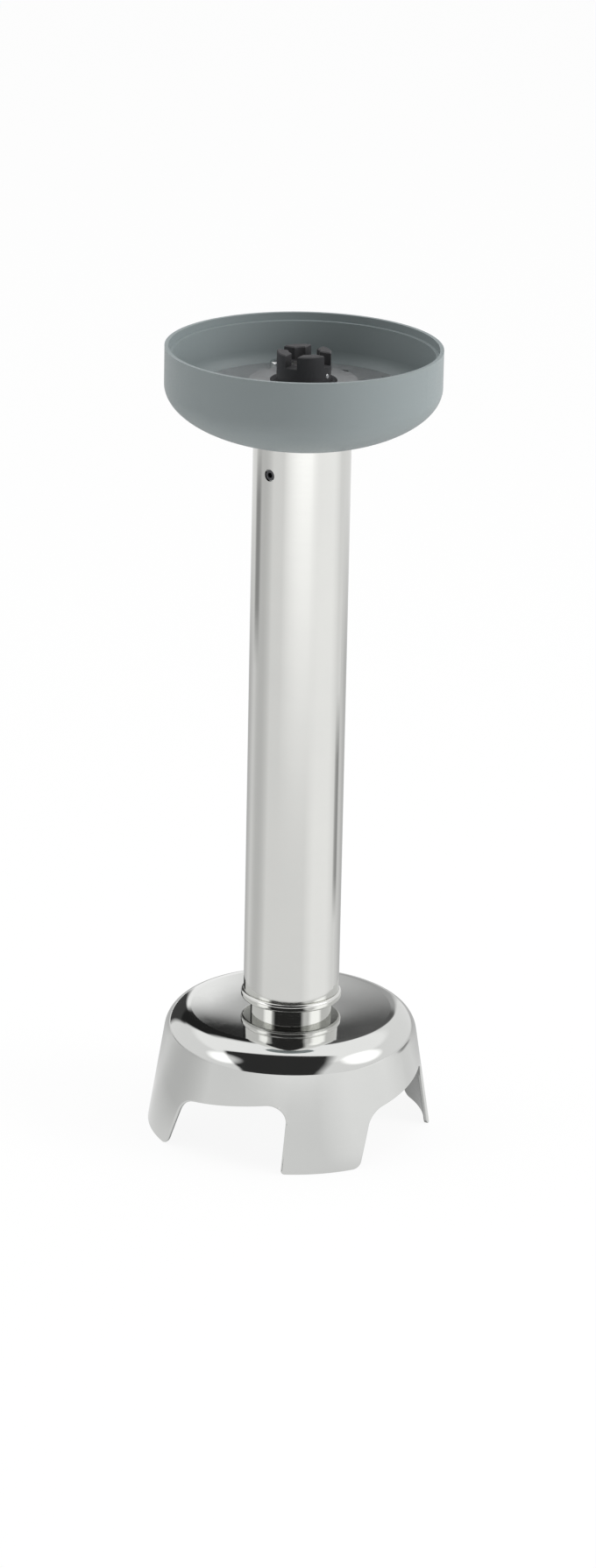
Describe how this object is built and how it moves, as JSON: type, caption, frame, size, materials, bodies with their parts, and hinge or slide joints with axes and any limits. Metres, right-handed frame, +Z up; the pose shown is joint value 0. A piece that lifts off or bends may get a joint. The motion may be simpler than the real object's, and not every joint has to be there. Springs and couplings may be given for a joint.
{
  "type": "stick blender shaft unit",
  "caption": "Polished stainless stick blender shaft: a tube with a moulded grey motor-end cap, a bell blade guard on swept legs, and a spinning drive shaft with a cross blade inside.",
  "frame": {"origin": "on the floor under the guard's legs, on the shaft's axis", "axes": "+Z up along the shaft from the blade guard to the motor end; the guard's windows face +X, +Y, -X and -Y"},
  "size_m": [0.1072, 0.1072, 0.321],
  "materials": {
    "polished_steel": "mirror polished stainless steel",
    "turned_steel": "turned stainless steel",
    "blade_steel": "ground stainless steel",
    "bearing_steel": "ground bearing steel",
    "plated_steel": "bright zinc plate",
    "dark_steel": "blackened spring steel",
    "cast_aluminium": "cast, machined on its faces",
    "bronze": "sintered bronze",
    "grey_plastic": "moulded grey plastic, lightly satin",
    "nylon": "black glass-filled nylon",
    "black_rubber": "moulded rubber"
  },
  "bodies": {
    "housing": {"blade_guard": "polished_steel", "bearing_housing": "polished_steel", "lower_oring": "black_rubber", "upper_bush": "bronze", "lower_bush": "bronze", "shaft_seal": "black_rubber", "guard_nut": "turned_steel", "shaft_tube": "polished_steel", "lock_screws": "dark_steel", "mounting_flange": "cast_aluminium", "upper_oring": "black_rubber", "cap_screws": "plated_steel", "end_cap": "grey_plastic", "cap_seal": "black_rubber", "bearing_outer_race": "bearing_steel", "bearing_shields": "plated_steel", "bearing_circlip": "dark_steel"},
    "rotor": {"drive_shaft": "turned_steel", "bearing_inner_race": "bearing_steel", "shaft_circlip": "dark_steel", "drive_coupling": "nylon", "coupling_pin": "bearing_steel", "thrust_washer": "bronze", "blade_spacer": "turned_steel", "blade": "blade_steel", "blade_washer": "turned_steel", "blade_nut": "polished_steel"},
    "ball_train": {"bearing_balls": "bearing_steel", "bearing_cage": "nylon"}
  },
  "joints": [
    {"name": "drive_spin", "type": "hinge", "parent": "housing", "child": "rotor", "pos_m": [0, 0, 0.301], "axis": [0, 0, 1], "continuous": true},
    {"name": "ball_orbit", "type": "hinge", "parent": "housing", "child": "ball_train", "pos_m": [0, 0, 0.301], "axis": [0, 0, 1], "continuous": true}
  ],
  "couplings": [
    {"joint": "ball_orbit", "follows": "drive_spin", "ratio": 0.3678}
  ]
}
